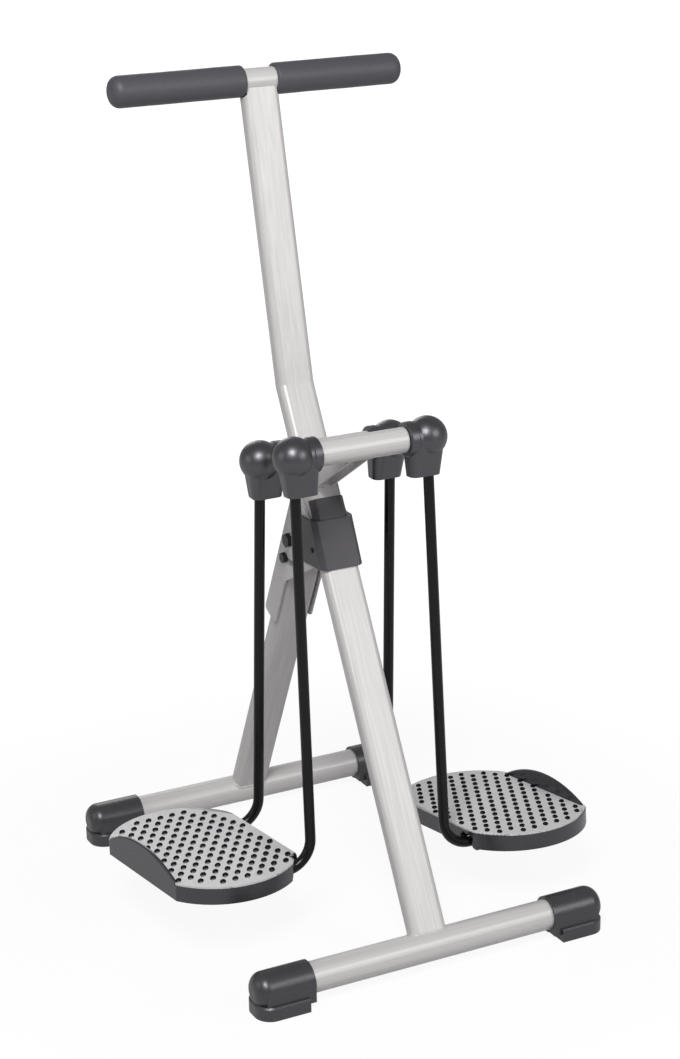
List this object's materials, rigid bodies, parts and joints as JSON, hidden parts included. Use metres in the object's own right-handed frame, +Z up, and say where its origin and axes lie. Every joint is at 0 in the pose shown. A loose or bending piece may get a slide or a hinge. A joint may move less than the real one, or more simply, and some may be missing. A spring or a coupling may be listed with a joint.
{
  "type": "air walker",
  "caption": "Folding air walker: leaning T-shaped mast over an A-shaped stand, with pedals that swing on bent rods from crossbars.",
  "frame": {"origin": "on the floor, midway between the base tubes and between the pedals", "axes": "+X to the right across the walker, +Y from the user towards the mast, +Z up"},
  "size_m": [0.6072, 0.606, 1.093],
  "materials": {
    "silver_paint": "satin",
    "foam": "matte",
    "black_rubber": "satin",
    "black_plastic": "satin",
    "black_paint": "satin",
    "grey_plastic": "matte",
    "bush_plastic": "matte",
    "zinc_steel": "bright",
    "black_steel": "satin"
  },
  "bodies": {
    "frame": {"axle_nuts": "zinc_steel", "axle_spacers": "bush_plastic", "base_tube_near": "silver_paint", "cover_screws": "black_steel", "crossbar_far": "silver_paint", "crossbar_near": "silver_paint", "crossbar_yoke": "silver_paint", "end_cap_near_left": "black_rubber", "end_cap_near_right": "black_rubber", "folding_bracket": "silver_paint", "grip_left": "foam", "grip_right": "foam", "handlebar_plugs": "black_plastic", "handlebar_tube": "silver_paint", "hinge_cover": "black_plastic", "leg_near": "silver_paint", "mast": "silver_paint", "pivot_bolt": "black_steel", "pivot_nut": "black_steel", "stop_bolt": "black_steel", "stub_axles": "zinc_steel"},
    "rear_leg": {"leg_far": "silver_paint", "base_tube_far": "silver_paint", "end_cap_far_left": "black_rubber", "end_cap_far_right": "black_rubber", "pivot_sleeve": "zinc_steel", "guide_bolt": "black_steel", "guide_nut": "black_steel"},
    "near_rod_right": {"rod_near_right": "black_paint", "hub_bush_near_right": "bush_plastic", "knuckle_near_right": "black_plastic", "pin_nut_near_right": "black_steel"},
    "far_rod_right": {"rod_far_right": "black_paint", "hub_bush_far_right": "bush_plastic", "knuckle_far_right": "black_plastic", "pin_nut_far_right": "black_steel"},
    "pedal_right": {"pedal_tray_right": "black_plastic", "pedal_plate_right": "grey_plastic", "lug_bush_right": "bush_plastic"},
    "near_rod_left": {"rod_near_left": "black_paint", "hub_bush_near_left": "bush_plastic", "knuckle_near_left": "black_plastic", "pin_nut_near_left": "black_steel"},
    "far_rod_left": {"rod_far_left": "black_paint", "hub_bush_far_left": "bush_plastic", "knuckle_far_left": "black_plastic", "pin_nut_far_left": "black_steel"},
    "pedal_left": {"pedal_tray_left": "black_plastic", "pedal_plate_left": "grey_plastic", "lug_bush_left": "bush_plastic"}
  },
  "joints": [
    {"name": "rear_leg_fold", "type": "hinge", "parent": "frame", "child": "rear_leg", "pos_m": [0, 0.05224, 0.48422], "axis": [1, 0, 0], "range_deg": [-54, 0]},
    {"name": "near_rod_right_swing", "type": "hinge", "parent": "frame", "child": "near_rod_right", "pos_m": [0.094, -0.104, 0.649], "axis": [1, 0, 0], "range_deg": [-20, 20]},
    {"name": "far_rod_right_swing", "type": "hinge", "parent": "frame", "child": "far_rod_right", "pos_m": [0.094, -0.005, 0.619], "axis": [1, 0, 0], "range_deg": [-20.96, 20.96]},
    {"name": "pedal_right_turn", "type": "hinge", "parent": "near_rod_right", "child": "pedal_right", "pos_m": [0.152, -0.14786, 0.09172], "axis": [1, 0, 0], "range_deg": [-12.15, 12.15]},
    {"name": "near_rod_left_swing", "type": "hinge", "parent": "frame", "child": "near_rod_left", "pos_m": [-0.094, -0.104, 0.649], "axis": [1, 0, 0], "range_deg": [-20, 20]},
    {"name": "far_rod_left_swing", "type": "hinge", "parent": "frame", "child": "far_rod_left", "pos_m": [-0.094, -0.005, 0.619], "axis": [1, 0, 0], "range_deg": [-21.04, 21.04]},
    {"name": "pedal_left_turn", "type": "hinge", "parent": "near_rod_left", "child": "pedal_left", "pos_m": [-0.152, -0.12877, 0.10356], "axis": [1, 0, 0], "range_deg": [-12.01, 12.01]}
  ],
  "couplings": [
    {"joint": "far_rod_right_swing", "follows": "near_rod_right_swing", "ratio": 1.0455},
    {"joint": "pedal_right_turn", "follows": "near_rod_right_swing", "ratio": -0.6049},
    {"joint": "far_rod_left_swing", "follows": "near_rod_left_swing", "ratio": 1.0494},
    {"joint": "pedal_left_turn", "follows": "near_rod_left_swing", "ratio": -0.598}
  ]
}
